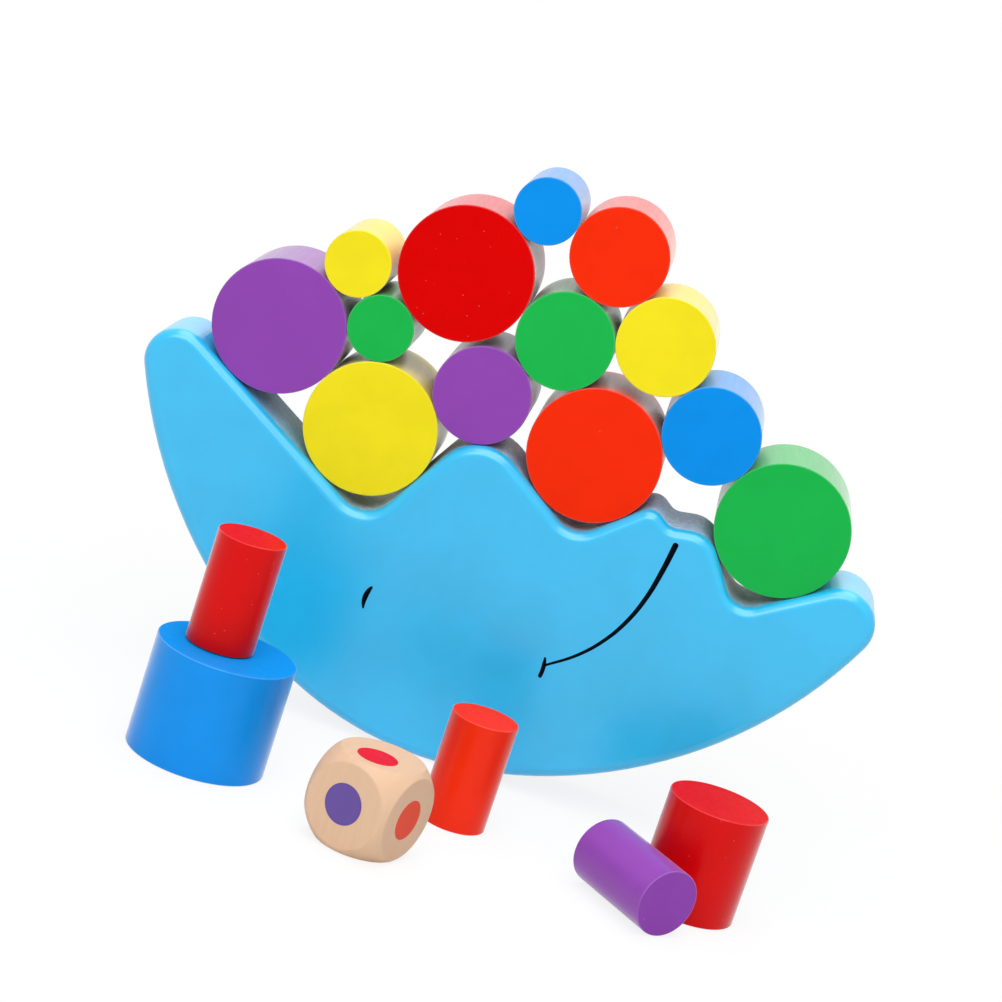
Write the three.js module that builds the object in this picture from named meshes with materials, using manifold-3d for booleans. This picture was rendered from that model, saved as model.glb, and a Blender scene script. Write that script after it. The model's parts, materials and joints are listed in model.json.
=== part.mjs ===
// Balancing moon: a wooden crescent that rocks on its round back, with a pile of painted
// cylinders on its face, five more cylinders on the table in front of it, and a colour die.
// Millimetres, +Z up, +Y away from the moon's painted face.
// While it is built, X = 0 lies over the moon's lowest point, Y = 0 is the front of the pile
// and Z = 0 is the table. In flat outlines, a Vector2 holds X and the height.

import * as THREE from 'three';
import { mergeVertices } from 'three/addons/utils/BufferGeometryUtils.js';
import loadManifold from 'manifold-3d';

// Blocks: solid cylinders in three diameters and one length

const largeDiameter = 50.1;
const mediumDiameter = 36.4;
const smallDiameter = 24.6;
const blockLength = 40.7;
const blockRimChamfer = 0.7;
const restGap = 0.3;

// Moon: a thick plank with rounded edges, whose front leads the front of the pile a little

const moonThickness = 38.5;
const moonEdgeRadius = 4.3;
const moonLead = 3;

// The moon's back: a rocker arc under a flatter arc on either side, joined smoothly

const rockerRadius = 128;
const rockerLeftAngle = 31.5;
const rockerRightAngle = 13.4;
const crownRadius = 185.9;
const jawRadius = 169.1;

// The moon's face, from the brow on the left to the chin on the right. Each corner is a run
// to the right and a rise or a drop from the corner before it, and is rounded afterwards.

const browSlope = 30.4;
const eyeHollowX = -46.7;
const eyeHollowHeight = 78.8;
const noseRun = 30.5;
const noseRise = 49.8;
const underNoseRun = 44.4;
const underNoseDrop = 29.7;
const upperLipRun = 24.7;
const upperLipRise = 21.6;
const mouthRun = 8.1;
const mouthDrop = 5.9;
const lowerLipRun = 15;
const lowerLipRise = 2.6;
const chinHollowRun = 17;
const chinHollowDrop = 25;
const chinSlope = 32.5;

const browTipRadius = 12.5;
const eyeHollowRadius = 11.9;
const noseRadius = 17.8;
const underNoseRadius = 11.4;
const upperLipRadius = 7.4;
const mouthRadius = 5.6;
const lowerLipRadius = 11.8;
const chinHollowRadius = 8.7;
const chinTipRadius = 13.3;

// Colour die: a cube whose edges and corners are turned off by a sphere

const dieEdge = 32.7;
const dieRoundingDiameter = 44.2;
const dieYaw = -24.2;

// Places on the table, from the point under the moon's lowest point. Y is negative in front
// of the pile.

const blueLargePlace = new THREE.Vector2(-71.7, -82.2);
const redSmallOffset = new THREE.Vector2(-3.4, 1.4);
const orangeSmallPlace = new THREE.Vector2(20.3, -57.9);
const redMediumPlace = new THREE.Vector2(107.9, -63.3);
const diePlace = new THREE.Vector2(-7, -112.7);
const lyingBlockAngle = 129.4;
const lyingBlockOverhang = 25.2;

// Fineness of the round surfaces

const blockSides = 48;
const edgeSteps = 4;
const cornerStep = 9;
const backStep = 2.5;
const sphereSides = 48;

const colours = {
  red: 0xdc0e08,
  orange: 0xf5300a,
  yellow: 0xf4e323,
  green: 0x22b64e,
  blue: 0x0d91e9,
  purple: 0x9149b1,
  sky: 0x4dbfef,
  wood: 0xe6c09a,
};

const paintRoughness = 0.35;
const woodRoughness = 0.6;

const diameters = { large: largeDiameter, medium: mediumDiameter, small: smallDiameter };

const radians = THREE.MathUtils.degToRad;

function heading(degrees) {
  return new THREE.Vector2(Math.cos(radians(degrees)), Math.sin(radians(degrees)));
}

function leftOf(direction) {
  return new THREE.Vector2(-direction.y, direction.x);
}

function along(point, direction, distance) {
  return point.clone().addScaledVector(direction, distance);
}

// Where two curves meet. A curve is a line, with a point and a normal, or a circle, with a
// centre and a radius.

function meetLines(a, b) {
  const direction = leftOf(a.normal);
  const slant = direction.dot(b.normal);
  const reach = b.point.clone().sub(a.point).dot(b.normal) / slant;
  return [along(a.point, direction, reach)];
}

function meetLineAndCircle(line, circle) {
  const height = circle.centre.clone().sub(line.point).dot(line.normal);
  const foot = along(circle.centre, line.normal, -height);
  const half = Math.sqrt(circle.radius ** 2 - height ** 2);
  const direction = leftOf(line.normal);
  return [along(foot, direction, half), along(foot, direction, -half)];
}

function meetCircles(a, b) {
  const direction = b.centre.clone().sub(a.centre);
  const distance = direction.length();
  direction.normalize();
  const reach = (distance ** 2 + a.radius ** 2 - b.radius ** 2) / (2 * distance);
  const half = Math.sqrt(a.radius ** 2 - reach ** 2);
  const foot = along(a.centre, direction, reach);
  return [along(foot, leftOf(direction), half), along(foot, leftOf(direction), -half)];
}

function meet(a, b) {
  let points;
  if (a.normal && b.normal) points = meetLines(a, b);
  else if (a.normal) points = meetLineAndCircle(a, b);
  else if (b.normal) points = meetLineAndCircle(b, a);
  else points = meetCircles(a, b);
  return points.filter((point) => Number.isFinite(point.x) && Number.isFinite(point.y));
}

// The same curve, moved out by a distance: the path of a round piece's centre as it rolls

function movedOut(curve, distance) {
  if (curve.normal) return { point: along(curve.point, curve.normal, distance), normal: curve.normal };
  return { centre: curve.centre, radius: curve.radius + distance };
}

// Moon outline

function arcPoints(centre, start, end, bulges, step) {
  const from = start.clone().sub(centre);
  const to = end.clone().sub(centre);
  const turned = Math.atan2(from.cross(to), from.dot(to));
  const count = Math.max(2, Math.ceil(Math.abs(turned) / radians(step)));
  const points = [];
  for (let i = 0; i <= count; i += 1) {
    const spoke = from.clone().rotateAround(new THREE.Vector2(), (turned * i) / count);
    const normal = spoke.clone().normalize().multiplyScalar(bulges ? 1 : -1);
    points.push({ place: centre.clone().add(spoke), normal });
  }
  return points;
}

function faceCorners() {
  const steps = [
    { run: eyeHollowX, rise: eyeHollowHeight, radius: eyeHollowRadius },
    { run: noseRun, rise: noseRise, radius: noseRadius },
    { run: underNoseRun, rise: -underNoseDrop, radius: underNoseRadius },
    { run: upperLipRun, rise: upperLipRise, radius: upperLipRadius },
    { run: mouthRun, rise: -mouthDrop, radius: mouthRadius },
    { run: lowerLipRun, rise: lowerLipRise, radius: lowerLipRadius },
    { run: chinHollowRun, rise: -chinHollowDrop, radius: chinHollowRadius },
  ];
  const place = new THREE.Vector2();
  return steps.map(({ run, rise, radius }) => {
    place.add(new THREE.Vector2(run, rise));
    return { place: place.clone(), radius };
  });
}

// A corner rounded by an arc, whose ends stay within half of the straights beside it

function roundedCorner(corner, before, after, shorterStraight) {
  const turn = before.angleTo(after) / 2;
  const reach = Math.min(corner.radius * Math.tan(turn), shorterStraight / 2);
  const radius = reach / Math.tan(turn);
  const bulges = before.cross(after) < 0;
  const start = along(corner.place, before, -reach);
  const end = along(corner.place, after, reach);
  const centre = along(start, leftOf(before), bulges ? -radius : radius);
  return { centre, radius, start, end, bulges };
}

// The rounded tip between a straight of the face and an arc of the moon's back

function roundedTip(straight, arc, radius, side) {
  const inside = movedOut(straight, -radius);
  const centres = meet(inside, { centre: arc.centre, radius: arc.radius - radius });
  const centre = centres.sort((a, b) => side * (b.x - a.x))[0];
  const onStraight = along(centre, straight.normal, radius);
  const onArc = along(centre, centre.clone().sub(arc.centre).normalize(), radius);
  return { centre, radius, onStraight, onArc };
}

function moonOutline() {
  const corners = faceCorners();
  const brow = heading(-browSlope);
  const chin = heading(chinSlope);
  const between = corners.slice(1).map((corner, i) => corner.place.clone().sub(corners[i].place));
  const lengths = [Infinity, ...between.map((step) => step.length()), Infinity];
  const directions = [brow, ...between.map((step) => step.clone().normalize()), chin];
  const rounded = corners.map((corner, i) => {
    const shorterStraight = Math.min(lengths[i], lengths[i + 1]);
    return roundedCorner(corner, directions[i], directions[i + 1], shorterStraight);
  });
  const straights = directions.map((direction, i) => {
    const point = corners[Math.max(0, i - 1)].place;
    return { point, normal: leftOf(direction) };
  });

  const middle = new THREE.Vector2(0, rockerRadius);
  const toLeft = heading(-90 - rockerLeftAngle);
  const toRight = heading(-90 + rockerRightAngle);
  const lowest = new THREE.Vector2();
  const crown = { centre: along(middle, toLeft, rockerRadius - crownRadius), radius: crownRadius };
  const jaw = { centre: along(middle, toRight, rockerRadius - jawRadius), radius: jawRadius };
  const leftJoin = along(middle, toLeft, rockerRadius);
  const rightJoin = along(middle, toRight, rockerRadius);
  const browTip = roundedTip(straights[0], crown, browTipRadius, -1);
  const chinTip = roundedTip(straights[straights.length - 1], jaw, chinTipRadius, 1);

  const points = [
    ...arcPoints(browTip.centre, browTip.onArc, browTip.onStraight, true, cornerStep),
    ...rounded.flatMap(({ centre, start, end, bulges }) => arcPoints(centre, start, end, bulges, cornerStep)),
    ...arcPoints(chinTip.centre, chinTip.onStraight, chinTip.onArc, true, cornerStep),
    ...arcPoints(jaw.centre, chinTip.onArc, rightJoin, true, backStep),
    ...arcPoints(middle, rightJoin, lowest, true, backStep),
    ...arcPoints(middle, lowest, leftJoin, true, backStep),
    ...arcPoints(crown.centre, leftJoin, browTip.onArc, true, backStep),
  ];
  const tiny = 1e-6;
  const outline = points.filter(({ place }, i) => {
    const previous = points[(i + points.length - 1) % points.length].place;
    return place.distanceTo(previous) > tiny;
  });
  const supports = [...straights, ...rounded.filter(({ bulges }) => bulges), browTip, chinTip];
  const named = {
    brow: straights[0],
    noseLeft: straights[1],
    nose: rounded[1],
    noseRight: straights[2],
    lipLeft: straights[3],
    lipRight: straights[6],
    chin: straights[7],
  };
  return { outline, supports, named };
}

// The outline's plank, with front and back edges rounded by rings that draw in

function moonGeometry(outline) {
  const front = [];
  for (let step = 0; step <= edgeSteps; step += 1) {
    const turn = (step / edgeSteps) * (Math.PI / 2);
    const inset = moonEdgeRadius * (1 - Math.sin(turn));
    front.push({ inset, depth: moonEdgeRadius * (1 - Math.cos(turn)) });
  }
  const back = front.map(({ inset, depth }) => ({ inset, depth: moonThickness - depth })).reverse();
  const rings = [...front, ...back];
  const count = outline.length;
  const drawnIn = (inset) => outline.map(({ place, normal }) => along(place, normal, -inset));
  const ringPoints = rings.map(({ inset }) => drawnIn(inset));
  const positions = rings.flatMap(({ depth }, ring) => ringPoints[ring].flatMap(({ x, y }) => [x, depth, y]));

  const index = [];
  for (let ring = 0; ring + 1 < rings.length; ring += 1) {
    for (let i = 0; i < count; i += 1) {
      const next = (i + 1) % count;
      const a = ring * count + i;
      const b = ring * count + next;
      index.push(a, b, a + count, b, b + count, a + count);
    }
  }
  const last = (rings.length - 1) * count;
  for (const [a, b, c] of THREE.ShapeUtils.triangulateShape(ringPoints[0], [])) {
    const [p, q, r] = [a, b, c].map((i) => ringPoints[0][i]);
    const turnsLeft = q.clone().sub(p).cross(r.clone().sub(p)) > 0;
    const [second, third] = turnsLeft ? [b, c] : [c, b];
    index.push(a, second, third, last + a, last + third, last + second);
  }
  const geometry = new THREE.BufferGeometry();
  geometry.setAttribute('position', new THREE.Float32BufferAttribute(positions, 3));
  geometry.setIndex(index);
  geometry.computeVertexNormals();
  return geometry;
}

// Pile: each block rests on two supports that were there before it

function distanceToOutline(point, outline) {
  let least = Infinity;
  outline.forEach(({ place }, i) => {
    const next = outline[(i + 1) % outline.length].place;
    const edge = next.clone().sub(place);
    const share = THREE.MathUtils.clamp(point.clone().sub(place).dot(edge) / edge.lengthSq(), 0, 1);
    least = Math.min(least, along(place, edge, share).distanceTo(point));
  });
  return least;
}

function touchPoint(curve, centre) {
  if (curve.normal) {
    const height = centre.clone().sub(curve.point).dot(curve.normal);
    return along(centre, curve.normal, -height);
  }
  return along(curve.centre, centre.clone().sub(curve.centre).normalize(), curve.radius);
}

function holdsFromBothSides(a, b, centre) {
  const first = touchPoint(a, centre).sub(centre);
  const second = touchPoint(b, centre).sub(centre);
  return first.x * second.x <= 0 && first.y < 0 && second.y < 0;
}

// The seat is the higher meeting point over the two named supports. Where a change of size
// puts a neighbour in the way, the block takes the nearest seat that is clear.

function restingPlace(radius, pair, moon, placed) {
  const reach = radius + restGap;
  const wanted = meet(movedOut(pair[0], reach), movedOut(pair[1], reach)).sort((a, b) => b.y - a.y)[0];
  const supports = [...moon.supports, ...placed];
  const tolerance = 0.05;
  const isClear = (centre) => {
    const clearOfBlocks = placed.every((other) => {
      return centre.distanceTo(other.centre) > other.radius + reach - tolerance;
    });
    return clearOfBlocks && distanceToOutline(centre, moon.outline) > reach - tolerance;
  };
  const seats = [];
  supports.forEach((first, i) => {
    for (const second of supports.slice(i + 1)) {
      for (const centre of meet(movedOut(first, reach), movedOut(second, reach))) {
        if (holdsFromBothSides(first, second, centre) && isClear(centre)) seats.push(centre);
      }
    }
  });
  const goal = wanted ?? touchPoint(pair[0], pair[1].centre ?? pair[1].point);
  return seats.sort((a, b) => a.distanceTo(goal) - b.distanceTo(goal))[0];
}

const pile = [
  { colour: 'yellow', size: 'large', on: ['brow', 'noseLeft'] },
  { colour: 'purple', size: 'large', on: ['brow', 'yellow_large_block'] },
  { colour: 'orange', size: 'large', on: ['noseRight', 'lipLeft'] },
  { colour: 'green', size: 'large', on: ['lipRight', 'chin'] },
  { colour: 'purple', size: 'medium', on: ['nose', 'yellow_large_block'] },
  { colour: 'green', size: 'small', on: ['purple_large_block', 'yellow_large_block'] },
  { colour: 'blue', size: 'medium', on: ['orange_large_block', 'green_large_block'] },
  { colour: 'green', size: 'medium', on: ['purple_medium_block', 'orange_large_block'] },
  { colour: 'yellow', size: 'small', on: ['purple_large_block', 'green_small_block'] },
  { colour: 'red', size: 'large', on: ['green_small_block', 'green_medium_block'] },
  { colour: 'yellow', size: 'medium', on: ['green_medium_block', 'blue_medium_block'] },
  { colour: 'orange', size: 'medium', on: ['green_medium_block', 'yellow_medium_block'] },
  { colour: 'blue', size: 'small', on: ['red_large_block', 'orange_medium_block'] },
];

// Meshes

function paint(colour, roughness) {
  return new THREE.MeshStandardMaterial({ color: colours[colour], roughness, metalness: 0 });
}

const blockName = (colour, size) => `${colour}_${size}_block`;

function blockMesh(colour, size) {
  const radius = diameters[size] / 2;
  const profile = [
    new THREE.Vector2(0, 0),
    new THREE.Vector2(radius - blockRimChamfer, 0),
    new THREE.Vector2(radius, blockRimChamfer),
    new THREE.Vector2(radius, blockLength - blockRimChamfer),
    new THREE.Vector2(radius - blockRimChamfer, blockLength),
    new THREE.Vector2(0, blockLength),
  ];
  const mesh = new THREE.Mesh(new THREE.LatheGeometry(profile, blockSides), paint(colour, paintRoughness));
  mesh.name = blockName(colour, size);
  return mesh;
}

function moonMesh(outline) {
  const mesh = new THREE.Mesh(moonGeometry(outline), paint('sky', paintRoughness));
  mesh.name = 'moon_rocker';
  mesh.position.y = -moonLead;
  return mesh;
}

function pileMeshes(moon) {
  const placed = [];
  const named = { ...moon.named };
  return pile.map(({ colour, size, on }) => {
    const mesh = blockMesh(colour, size);
    const radius = diameters[size] / 2;
    const centre = restingPlace(radius, on.map((name) => named[name]), moon, placed);
    named[mesh.name] = { centre, radius };
    placed.push(named[mesh.name]);
    mesh.position.set(centre.x, 0, centre.y);
    return mesh;
  });
}

function standingBlock(colour, size, place, height) {
  const mesh = blockMesh(colour, size);
  mesh.rotation.x = Math.PI / 2;
  mesh.position.set(place.x, place.y, height);
  return mesh;
}

// The lying block touches the standing medium block with its side

function lyingBlock() {
  const mesh = blockMesh('purple', 'small');
  const axis = heading(lyingBlockAngle);
  const apart = (mediumDiameter + smallDiameter) / 2 + restGap;
  const beside = along(redMediumPlace, leftOf(axis), apart);
  const end = along(beside, axis, -lyingBlockOverhang);
  mesh.rotation.z = radians(lyingBlockAngle - 90);
  mesh.position.set(end.x, end.y, smallDiameter / 2);
  return mesh;
}

async function dieMesh() {
  const wasm = await loadManifold();
  wasm.setup();
  const solid = (geometry) => {
    geometry.deleteAttribute('normal');
    geometry.deleteAttribute('uv');
    const merged = mergeVertices(geometry);
    const vertProperties = new Float32Array(merged.attributes.position.array);
    const triVerts = new Uint32Array(merged.index.array);
    return new wasm.Manifold(new wasm.Mesh({ numProp: 3, vertProperties, triVerts }));
  };
  const cube = solid(new THREE.BoxGeometry(dieEdge, dieEdge, dieEdge));
  const ball = solid(new THREE.SphereGeometry(dieRoundingDiameter / 2, sphereSides, sphereSides / 2));
  const cut = cube.intersect(ball).getMesh();
  const geometry = new THREE.BufferGeometry();
  geometry.setAttribute('position', new THREE.BufferAttribute(new Float32Array(cut.vertProperties), 3));
  geometry.setIndex(new THREE.BufferAttribute(new Uint32Array(cut.triVerts), 1));
  geometry.computeVertexNormals();
  const mesh = new THREE.Mesh(geometry, paint('wood', woodRoughness));
  mesh.name = 'colour_die';
  mesh.rotation.z = radians(dieYaw);
  mesh.position.set(diePlace.x, diePlace.y, dieEdge / 2);
  return mesh;
}

// The whole set, with its origin moved to the middle of its footprint on the table

const moon = moonOutline();
const group = new THREE.Group();
group.add(moonMesh(moon.outline));
group.add(...pileMeshes(moon));
group.add(standingBlock('blue', 'large', blueLargePlace, 0));
group.add(standingBlock('red', 'small', blueLargePlace.clone().add(redSmallOffset), blockLength + restGap));
group.add(standingBlock('orange', 'small', orangeSmallPlace, 0));
group.add(standingBlock('red', 'medium', redMediumPlace, 0));
group.add(lyingBlock());
group.add(await dieMesh());

const box = new THREE.Box3().setFromObject(group, true);
const middle = box.getCenter(new THREE.Vector3());
group.position.set(-middle.x, -middle.y, -box.min.z);
group.updateMatrixWorld(true);

export default group;
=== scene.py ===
"""Looks of the balancing moon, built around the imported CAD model.

A sky-blue crescent rocker with a painted smile carries a pile of painted cylinder blocks. More
blocks and a colour die stand on the table in front of it. Lengths are in metres.
"""

import json
import math

import bmesh
import bpy
from mathutils import Matrix, Vector

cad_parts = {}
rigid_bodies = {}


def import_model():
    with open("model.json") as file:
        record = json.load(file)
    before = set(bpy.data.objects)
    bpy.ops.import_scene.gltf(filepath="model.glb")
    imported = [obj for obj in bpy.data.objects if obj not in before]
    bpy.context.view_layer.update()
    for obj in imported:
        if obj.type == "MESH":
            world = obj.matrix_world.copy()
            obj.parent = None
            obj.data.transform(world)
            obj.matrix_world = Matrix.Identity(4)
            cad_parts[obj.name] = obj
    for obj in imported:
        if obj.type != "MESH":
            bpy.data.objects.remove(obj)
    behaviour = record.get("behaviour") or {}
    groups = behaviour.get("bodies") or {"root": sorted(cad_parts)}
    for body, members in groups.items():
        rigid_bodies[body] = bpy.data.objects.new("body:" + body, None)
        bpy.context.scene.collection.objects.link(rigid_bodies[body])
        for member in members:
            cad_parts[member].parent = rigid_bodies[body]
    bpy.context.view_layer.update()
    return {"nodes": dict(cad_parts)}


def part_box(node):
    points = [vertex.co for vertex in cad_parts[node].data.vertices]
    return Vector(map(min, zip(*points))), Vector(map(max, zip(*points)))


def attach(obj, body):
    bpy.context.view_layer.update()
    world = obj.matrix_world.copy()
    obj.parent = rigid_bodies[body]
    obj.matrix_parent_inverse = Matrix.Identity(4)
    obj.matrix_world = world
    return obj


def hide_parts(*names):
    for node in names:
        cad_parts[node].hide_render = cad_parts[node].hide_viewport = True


MM = 0.001
WELD_DISTANCE = 0.001 * MM
MERGE_DISTANCE = 0.002 * MM
WALL_TOLERANCE = 0.01 * MM
QUARTER_TURN = math.radians(90)

# Camera, solved from the round faces of the blocks.
CAMERA_PLACE = Vector((0.042196, -1.026318, 0.346461))
CAMERA_HEADING = 2.3289
CAMERA_DIP = 12.7495
CAMERA_ROLL = 18.3394
CAMERA_LENS = 107.327
SENSOR_WIDTH = 36.0

# Turned blocks.
STANDING_BLOCKS = {"blue_large", "red_small", "orange_small", "red_medium"}
LYING_BLOCKS = {"purple_small"}
LYING_ANGLE = 129.4
BLOCK_LENGTH = 40.7 * MM
BLOCK_SIDES = 96
RIM_RADIUS = 0.45 * MM
RIM_STEPS = 5
# In rim radii: the stretch that keeps a rim's rounding apart from the flat end and the side, and where
# the paling of a rim, partly wear and partly painted highlight, starts and is full.
RIM_HOLD = 1.4
RIM_FADE = (1.1, 0.4)
# A face whose normal lies this much or more along the block is part of an end.
END_STEEPNESS = 0.99
SANDING_DEPTH = 0.05 * MM
SANDING_SCALE = 90.0
NOISE_MEAN = 0.5
GRAIN_STRIDE = Vector((0.37, 0.21, 0.13))
# The solids keep a gap of 0.3 mm in the pile. Each block there is this much fuller, so they look seated.
PILE_SNUGNESS = 0.12 * MM

# Moon. Its seats lie between two places along it and fade out at their ends. They are greyed as painted
# shade and grazing reflection under the blocks.
MOON_EDGE_RADIUS = 4.3 * MM
MOON_EDGE_STEPS = 9
MOON_HOLD = 0.6 * MM
SEAT_LEFT = -112 * MM
SEAT_RIGHT = 122 * MM
SEAT_FADE = 8 * MM
# Where the seats' painted grey of shade and grazing reflection starts and is full: from the back and
# from the front in edge radii, and by how far a surface faces up.
SEAT_SHADE_FROM_BACK = (0.55, 1.2)
SEAT_SHADE_FROM_FRONT = (0.6, 1.3)
SEAT_SHADE_FACING_UP = (0.1, 0.45)
# A face with more of the painted seat shade than this has the duller finish of the seats.
SHADED_ENOUGH = 0.5

# Painted face, in millimetres along and up the front of the moon. A stroke bows to the left of its
# way by the bow, later on the way if its lean is above one. Its half widths are spread along it.
FACE_STROKES = {
    "moon_smile": {"start": (64.7, 110.6), "end": (33.3, 50.4), "bow": 8.8, "lean": 1.13,
                   "half_widths": (1.12, 1.0, 0.89, 0.79, 0.7, 0.6, 0.46)},
    "moon_cheek": {"start": (32.5, 53.5), "end": (32.8, 45.2), "bow": 0.4, "lean": 1.0,
                   "half_widths": (0.35, 0.82, 0.8, 0.78)},
    "moon_eye": {"start": (-36.7, 57.6), "end": (-37.5, 48.3), "bow": -0.95, "lean": 1.0,
                 "half_widths": (0.45, 0.92, 1.02, 0.78, 0.3)},
}
STROKE_STEP = 0.2 * MM
STROKE_SIDES = 12
STROKE_FLATNESS = 0.07

# Die, with a dot facing each way.
DIE_HALF = 16.35 * MM
DIE_BALL = 22.1 * MM
DIE_SOFTNESS = 0.35 * MM
DIE_GRID = 81
DIE_YAW = -24.2
DOT_RADIUS = 7.2 * MM
DOT_FILM = 0.12 * MM
DOT_SINK = 0.04 * MM
DOT_RIM = 0.03 * MM
DOT_FACINGS = {"red": (0, 0, 1), "blue": (0, 0, -1), "purple": (0, -1, 0), "yellow": (0, 1, 0),
               "orange": (1, 0, 0), "green": (-1, 0, 0)}
# How far a dot is off the middle of its flat, along the die before it is turned.
DOT_SHIFTS = {"red": Vector((0.0, -3.9, 0.0)) * MM, "purple": Vector((-0.4, 0.0, 0.45)) * MM,
              "orange": Vector((0.0, -0.3, -0.15)) * MM}

# Colours as they look on a screen, in 0 to 255.
BLOCK_COLOURS = {
    "purple": (145, 73, 177),
    "yellow": (246, 229, 34),
    "green": (30, 184, 78),
    "red": (222, 2, 2),
    "blue": (12, 146, 236),
    "orange": (248, 46, 10),
}
SKY_COLOUR = (32, 193, 246)
# Grey of the seats, a painted shade and grazing reflection, and the pale of their scratches.
SEAT_SHADE_COLOUR = (176, 188, 205)
SCRATCH_COLOUR = (232, 235, 238)
INK_COLOUR = (3, 7, 14)
DIE_LIGHT_WOOD = (224, 187, 155)
DIE_DARK_WOOD = (220, 182, 149)
DOT_COLOURS = {
    "red": (226, 24, 46),
    "purple": (107, 85, 158),
    "orange": (236, 84, 60),
    "yellow": (246, 222, 60),
    "green": (40, 170, 84),
    "blue": (30, 130, 220),
}

# Finishes: how strongly a surface mirrors, how hazy it is at a glance, and its clear coat. The floor's
# also says how rough it is.
GLOSSY_SIDE = {"Specular IOR Level": 0.05, "Sheen Weight": 0.4, "Sheen Roughness": 0.3,
               "Coat Weight": 1.0, "Coat IOR": 1.18, "Coat Roughness": 0.25}
MATT_END = {"Specular IOR Level": 0.03}
SATIN_MOON = {"Specular IOR Level": 0.05, "Coat Weight": 1.0, "Coat IOR": 1.66, "Coat Roughness": 0.26}
DULL_SEAT = {"Specular IOR Level": 0.1}
SANDED_WOOD = {"Specular IOR Level": 0.3}
DRY_INK = {"Specular IOR Level": 0.02}
MATT_FLOOR = {"Roughness": 0.9, "Specular IOR Level": 0.1}

# Paint on wood. Scales are in waves to the metre. Levels are where a noise starts to show and where it
# is full, and other pairs are the least and the most of a value.
DEEP_PAINT = 0.94
PALE_PAINT = 0.28
PAINT_CLOUD_SCALE = 42.0
CLOUD_LEVELS = (0.3, 0.7)
CLOUD_RELIEF = 0.6
FIBRE_SCALE = 620.0
FIBRE_STRETCH = (1.0, 1.0, 0.06)
FIBRE_LEVELS = (0.62, 0.8)
FIBRE_STRENGTH = 0.3
PAINT_ROUGHNESS_LEVELS = (0.2, 0.8)
PAINT_ROUGHNESS = (0.34, 0.46)
PAINT_BUMP = {"Strength": 0.25, "Distance": 0.12 * MM}
# Rims are paled, partly as wear and partly as a painted highlight.
RIM_HIGHLIGHT_AND_WEAR_LEVELS = (0.25, 0.75)
RIM_HIGHLIGHT_AND_WEAR = (0.05, 0.3)

# Dust under the paint: how close the specks lie, the share of places left without one, and how pale
# they are. A speck fades out between two parts of its cell's width.
FEW_SPECKS = {"scale": 210.0, "bare": 0.93, "strength": 0.25}
FAINT_SPECKS = {"scale": 210.0, "bare": 0.93, "strength": 0.05}
MANY_SPECKS = {"scale": 330.0, "bare": 0.6, "strength": 0.28}
BLOCK_SPECKS = {"red": MANY_SPECKS}
SPECK_EDGE = (0.11, 0.05)
SPECK_CHANGE = 0.03

# Seats of the moon, greyed as painted shade and grazing reflection, with fine scratches.
SCRATCH_STRETCH = (450.0, 300.0, 1.0)
SCRATCH_LEVELS = (0.47, 0.66)
SCRATCH_STRENGTH = 0.7
SCRATCH_RELIEF = 0.3
SEAT_SHADE_PATCH_SCALE = 90.0
SEAT_SHADE_PATCH_LEVELS = (0.2, 0.6)
SEAT_SHADE_STRENGTH = (0.72, 0.9)

# Bare wood of the die.
WOOD_BEND_SCALE = 55.0
WOOD_BEND = 6 * MM
WOOD_STRETCH = (1.0, 0.25, 0.06)
GROWTH_LINE_SCALE = 520.0
GROWTH_LINE_LEVELS = (0.38, 0.7)
PORE_SCALE = 1500.0
PORE_STRETCH = (1.0, 1.0, 0.05)
PORE_LEVELS = (0.62, 0.75)
PORE_STRENGTH = 0.25
WOOD_CLOUD_SCALE = 70.0
WOOD_CLOUD_STRENGTH = 0.45
WOOD_ROUGHNESS = (0.5, 0.62)
WOOD_BUMP = {"Strength": 0.2, "Distance": 0.1 * MM}

# Face ink.
INK_CLOUD_SCALE = 400.0
INK_LEVELS = (0.35, 0.75)
THIN_INK = 2.5
INK_ROUGHNESS = (0.4, 0.55)

# Floor, which is white to the camera from FLOOR_FAR on and keeps a faint shadow within FLOOR_NEAR.
FLOOR_SPAN = 6.0
FLOOR_HEIGHT = -0.2 * MM
FLOOR_NEAR = 0.18
FLOOR_FAR = 0.45
FLOOR_GLOW = 0.85
FLOOR_CLOUD_SCALE = 3.0
FLOOR_TONES = ((0.86, 0.86, 0.86, 1.0), (0.88, 0.88, 0.88, 1.0))

# Light: a wide key strip above the camera, a softbox overhead, and weak lamps to the right and behind.
WHITE = (1.0, 1.0, 1.0, 1.0)
ROOM_LIGHT = 0.2
LAMP_AIM = (0.0, 0.05, 0.1)
LAMPS = {
    "key": {"place": (-0.25, -1.4, 1.15), "width": 1.5, "height": 0.6, "power": 11.0},
    "overhead": {"place": (0.0, -0.15, 1.6), "width": 1.4, "height": 2.2, "power": 28.0},
    "fill": {"place": (1.1, -0.9, 0.6), "width": 0.7, "height": 1.0, "power": 0.6},
    "back": {"place": (0.0, 1.45, 1.0), "width": 2.4, "height": 1.0, "power": 4.0},
}


def linear(colour):
    """A screen colour from 0 to 255 as the linear colour that Blender's sockets take."""
    parts = [part / 255 for part in colour]
    bent = [part / 12.92 if part <= 0.04045 else ((part + 0.055) / 1.055) ** 2.4 for part in parts]
    return (*bent, 1.0)


def tinted(colour, share, white=0.0):
    """A linear colour times a share, with some white added."""
    return (*(part * share + white for part in colour[:3]), 1.0)


def wire(tree, node, wires):
    """Wires a node's inputs to sockets, or sets them to values."""
    for key, value in wires.items():
        socket = node.inputs[key]
        if isinstance(value, bpy.types.NodeSocket):
            tree.links.new(value, socket)
        else:
            socket.default_value = value


def add(tree, kind, wires=None, **settings):
    """A new node with its settings and its wires."""
    made = tree.nodes.new(kind)
    for name, value in settings.items():
        setattr(made, name, value)
    wire(tree, made, wires or {})
    return made


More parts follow.
